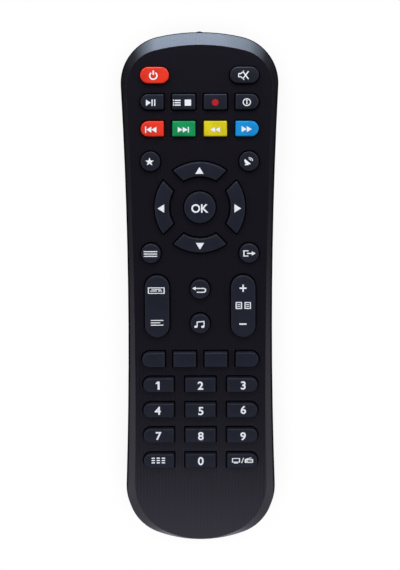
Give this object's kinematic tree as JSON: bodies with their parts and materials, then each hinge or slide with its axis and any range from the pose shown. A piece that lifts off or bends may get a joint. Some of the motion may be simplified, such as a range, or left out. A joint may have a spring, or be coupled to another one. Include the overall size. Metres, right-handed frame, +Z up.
{
  "type": "remote control",
  "caption": "Handheld infrared remote control: waisted bevelled case, soft keys that travel, long rocker keys, an arrow pad and a battery door that slides off the tail.",
  "frame": {"origin": "centre of the handset on the surface that its back rests on", "axes": "+X to the right of the handset, +Y to its infrared head end, +Z up out of the key face"},
  "size_m": [0.0522, 0.17, 0.0212],
  "materials": {
    "case_top": "black, finely brushed, satin gloss",
    "case_bottom": "black, fine spark-eroded grain",
    "key_grey": "bluish dark grey silicone",
    "key_red": "red silicone",
    "key_green": "green silicone",
    "key_yellow": "yellow silicone",
    "key_blue": "blue silicone",
    "mat": "grey silicone sheet",
    "board": "phenolic board with a printed side",
    "cell": "plain sleeved cell",
    "contact": "nickel-plated spring steel",
    "lens": "smoked infrared lens",
    "screw": "blackened steel",
    "chip": "black moulded case",
    "resonator": "orange ceramic",
    "capacitor": "sleeved can",
    "resistor": "banded film resistor"
  },
  "bodies": {
    "housing": {"top_shell": "case_top", "bottom_shell": "case_bottom", "circuit_board": "board", "keypad_mat": "mat", "ir_led": "lens", "controller_chip": "chip", "resonator": "resonator", "capacitor": "capacitor", "transistor": "chip", "resistors": "resistor", "contact_plate": "contact", "contact_spring": "contact", "contact_double": "contact", "case_screw": "screw", "battery_1": "cell", "battery_2": "cell"},
    "door": {"battery_door": "case_bottom"},
    "rocker_text_body": {"rocker_text": "key_grey"},
    "rocker_page_body": {"rocker_page": "key_grey"},
    "key_power_body": {"key_power": "key_red"},
    "key_mute_body": {"key_mute": "key_grey"},
    "key_play_body": {"key_play": "key_grey"},
    "key_stop_body": {"key_stop": "key_grey"},
    "key_record_body": {"key_record": "key_grey"},
    "key_info_body": {"key_info": "key_grey"},
    "key_red_body": {"key_red": "key_red"},
    "key_green_body": {"key_green": "key_green"},
    "key_yellow_body": {"key_yellow": "key_yellow"},
    "key_blue_body": {"key_blue": "key_blue"},
    "key_favourite_body": {"key_favourite": "key_grey"},
    "key_satellite_body": {"key_satellite": "key_grey"},
    "key_up_body": {"key_up": "key_grey"},
    "key_left_body": {"key_left": "key_grey"},
    "key_down_body": {"key_down": "key_grey"},
    "key_right_body": {"key_right": "key_grey"},
    "key_ok_body": {"key_ok": "key_grey"},
    "key_menu_body": {"key_menu": "key_grey"},
    "key_exit_body": {"key_exit": "key_grey"},
    "key_recall_body": {"key_recall": "key_grey"},
    "key_audio_body": {"key_audio": "key_grey"},
    "key_blank_1_body": {"key_blank_1": "key_grey"},
    "key_blank_2_body": {"key_blank_2": "key_grey"},
    "key_blank_3_body": {"key_blank_3": "key_grey"},
    "key_blank_4_body": {"key_blank_4": "key_grey"},
    "key_1_body": {"key_1": "key_grey"},
    "key_2_body": {"key_2": "key_grey"},
    "key_3_body": {"key_3": "key_grey"},
    "key_4_body": {"key_4": "key_grey"},
    "key_5_body": {"key_5": "key_grey"},
    "key_6_body": {"key_6": "key_grey"},
    "key_7_body": {"key_7": "key_grey"},
    "key_8_body": {"key_8": "key_grey"},
    "key_9_body": {"key_9": "key_grey"},
    "key_guide_body": {"key_guide": "key_grey"},
    "key_0_body": {"key_0": "key_grey"},
    "key_tv_body": {"key_tv": "key_grey"}
  },
  "joints": [
    {"name": "door_slide", "type": "slide", "parent": "housing", "child": "door", "axis": [0, -1, 0], "range_m": [0, 0.055]},
    {"name": "rocker_text_tilt", "type": "hinge", "parent": "housing", "child": "rocker_text_body", "pos_m": [-0.0141, -0.00465, 0.0174], "axis": [1, 0, 0], "range_deg": [-3.5, 3.5], "stiffness_Nm_per_rad": 0.25},
    {"name": "rocker_page_tilt", "type": "hinge", "parent": "housing", "child": "rocker_page_body", "pos_m": [0.0141, -0.00465, 0.0174], "axis": [1, 0, 0], "range_deg": [-3.5, 3.5], "stiffness_Nm_per_rad": 0.25},
    {"name": "key_power_press", "type": "slide", "parent": "housing", "child": "key_power_body", "axis": [0, 0, -1], "range_m": [0, 0.0009], "stiffness_N_per_m": 1200, "springref_m": -0.0003},
    {"name": "key_mute_press", "type": "slide", "parent": "housing", "child": "key_mute_body", "axis": [0, 0, -1], "range_m": [0, 0.0009], "stiffness_N_per_m": 1200, "springref_m": -0.0003},
    {"name": "key_play_press", "type": "slide", "parent": "housing", "child": "key_play_body", "axis": [0, 0, -1], "range_m": [0, 0.0009], "stiffness_N_per_m": 1200, "springref_m": -0.0003},
    {"name": "key_stop_press", "type": "slide", "parent": "housing", "child": "key_stop_body", "axis": [0, 0, -1], "range_m": [0, 0.0009], "stiffness_N_per_m": 1200, "springref_m": -0.0003},
    {"name": "key_record_press", "type": "slide", "parent": "housing", "child": "key_record_body", "axis": [0, 0, -1], "range_m": [0, 0.0009], "stiffness_N_per_m": 1200, "springref_m": -0.0003},
    {"name": "key_info_press", "type": "slide", "parent": "housing", "child": "key_info_body", "axis": [0, 0, -1], "range_m": [0, 0.0009], "stiffness_N_per_m": 1200, "springref_m": -0.0003},
    {"name": "key_red_press", "type": "slide", "parent": "housing", "child": "key_red_body", "axis": [0, 0, -1], "range_m": [0, 0.0009], "stiffness_N_per_m": 1200, "springref_m": -0.0003},
    {"name": "key_green_press", "type": "slide", "parent": "housing", "child": "key_green_body", "axis": [0, 0, -1], "range_m": [0, 0.0009], "stiffness_N_per_m": 1200, "springref_m": -0.0003},
    {"name": "key_yellow_press", "type": "slide", "parent": "housing", "child": "key_yellow_body", "axis": [0, 0, -1], "range_m": [0, 0.0009], "stiffness_N_per_m": 1200, "springref_m": -0.0003},
    {"name": "key_blue_press", "type": "slide", "parent": "housing", "child": "key_blue_body", "axis": [0, 0, -1], "range_m": [0, 0.0009], "stiffness_N_per_m": 1200, "springref_m": -0.0003},
    {"name": "key_favourite_press", "type": "slide", "parent": "housing", "child": "key_favourite_body", "axis": [0, 0, -1], "range_m": [0, 0.0009], "stiffness_N_per_m": 1200, "springref_m": -0.0003},
    {"name": "key_satellite_press", "type": "slide", "parent": "housing", "child": "key_satellite_body", "axis": [0, 0, -1], "range_m": [0, 0.0009], "stiffness_N_per_m": 1200, "springref_m": -0.0003},
    {"name": "key_up_press", "type": "slide", "parent": "housing", "child": "key_up_body", "axis": [0, 0, -1], "range_m": [0, 0.0009], "stiffness_N_per_m": 1200, "springref_m": -0.0003},
    {"name": "key_left_press", "type": "slide", "parent": "housing", "child": "key_left_body", "axis": [0, 0, -1], "range_m": [0, 0.0009], "stiffness_N_per_m": 1200, "springref_m": -0.0003},
    {"name": "key_down_press", "type": "slide", "parent": "housing", "child": "key_down_body", "axis": [0, 0, -1], "range_m": [0, 0.0009], "stiffness_N_per_m": 1200, "springref_m": -0.0003},
    {"name": "key_right_press", "type": "slide", "parent": "housing", "child": "key_right_body", "axis": [0, 0, -1], "range_m": [0, 0.0009], "stiffness_N_per_m": 1200, "springref_m": -0.0003},
    {"name": "key_ok_press", "type": "slide", "parent": "housing", "child": "key_ok_body", "axis": [0, 0, -1], "range_m": [0, 0.0009], "stiffness_N_per_m": 1200, "springref_m": -0.0003},
    {"name": "key_menu_press", "type": "slide", "parent": "housing", "child": "key_menu_body", "axis": [0, 0, -1], "range_m": [0, 0.0009], "stiffness_N_per_m": 1200, "springref_m": -0.0003},
    {"name": "key_exit_press", "type": "slide", "parent": "housing", "child": "key_exit_body", "axis": [0, 0, -1], "range_m": [0, 0.0009], "stiffness_N_per_m": 1200, "springref_m": -0.0003},
    {"name": "key_recall_press", "type": "slide", "parent": "housing", "child": "key_recall_body", "axis": [0, 0, -1], "range_m": [0, 0.0009], "stiffness_N_per_m": 1200, "springref_m": -0.0003},
    {"name": "key_audio_press", "type": "slide", "parent": "housing", "child": "key_audio_body", "axis": [0, 0, -1], "range_m": [0, 0.0009], "stiffness_N_per_m": 1200, "springref_m": -0.0003},
    {"name": "key_blank_1_press", "type": "slide", "parent": "housing", "child": "key_blank_1_body", "axis": [0, 0, -1], "range_m": [0, 0.0009], "stiffness_N_per_m": 1200, "springref_m": -0.0003},
    {"name": "key_blank_2_press", "type": "slide", "parent": "housing", "child": "key_blank_2_body", "axis": [0, 0, -1], "range_m": [0, 0.0009], "stiffness_N_per_m": 1200, "springref_m": -0.0003},
    {"name": "key_blank_3_press", "type": "slide", "parent": "housing", "child": "key_blank_3_body", "axis": [0, 0, -1], "range_m": [0, 0.0009], "stiffness_N_per_m": 1200, "springref_m": -0.0003},
    {"name": "key_blank_4_press", "type": "slide", "parent": "housing", "child": "key_blank_4_body", "axis": [0, 0, -1], "range_m": [0, 0.0009], "stiffness_N_per_m": 1200, "springref_m": -0.0003},
    {"name": "key_1_press", "type": "slide", "parent": "housing", "child": "key_1_body", "axis": [0, 0, -1], "range_m": [0, 0.0009], "stiffness_N_per_m": 1200, "springref_m": -0.0003},
    {"name": "key_2_press", "type": "slide", "parent": "housing", "child": "key_2_body", "axis": [0, 0, -1], "range_m": [0, 0.0009], "stiffness_N_per_m": 1200, "springref_m": -0.0003},
    {"name": "key_3_press", "type": "slide", "parent": "housing", "child": "key_3_body", "axis": [0, 0, -1], "range_m": [0, 0.0009], "stiffness_N_per_m": 1200, "springref_m": -0.0003},
    {"name": "key_4_press", "type": "slide", "parent": "housing", "child": "key_4_body", "axis": [0, 0, -1], "range_m": [0, 0.0009], "stiffness_N_per_m": 1200, "springref_m": -0.0003},
    {"name": "key_5_press", "type": "slide", "parent": "housing", "child": "key_5_body", "axis": [0, 0, -1], "range_m": [0, 0.0009], "stiffness_N_per_m": 1200, "springref_m": -0.0003},
    {"name": "key_6_press", "type": "slide", "parent": "housing", "child": "key_6_body", "axis": [0, 0, -1], "range_m": [0, 0.0009], "stiffness_N_per_m": 1200, "springref_m": -0.0003},
    {"name": "key_7_press", "type": "slide", "parent": "housing", "child": "key_7_body", "axis": [0, 0, -1], "range_m": [0, 0.0009], "stiffness_N_per_m": 1200, "springref_m": -0.0003},
    {"name": "key_8_press", "type": "slide", "parent": "housing", "child": "key_8_body", "axis": [0, 0, -1], "range_m": [0, 0.0009], "stiffness_N_per_m": 1200, "springref_m": -0.0003},
    {"name": "key_9_press", "type": "slide", "parent": "housing", "child": "key_9_body", "axis": [0, 0, -1], "range_m": [0, 0.0009], "stiffness_N_per_m": 1200, "springref_m": -0.0003},
    {"name": "key_guide_press", "type": "slide", "parent": "housing", "child": "key_guide_body", "axis": [0, 0, -1], "range_m": [0, 0.0009], "stiffness_N_per_m": 1200, "springref_m": -0.0003},
    {"name": "key_0_press", "type": "slide", "parent": "housing", "child": "key_0_body", "axis": [0, 0, -1], "range_m": [0, 0.0009], "stiffness_N_per_m": 1200, "springref_m": -0.0003},
    {"name": "key_tv_press", "type": "slide", "parent": "housing", "child": "key_tv_body", "axis": [0, 0, -1], "range_m": [0, 0.0009], "stiffness_N_per_m": 1200, "springref_m": -0.0003}
  ]
}
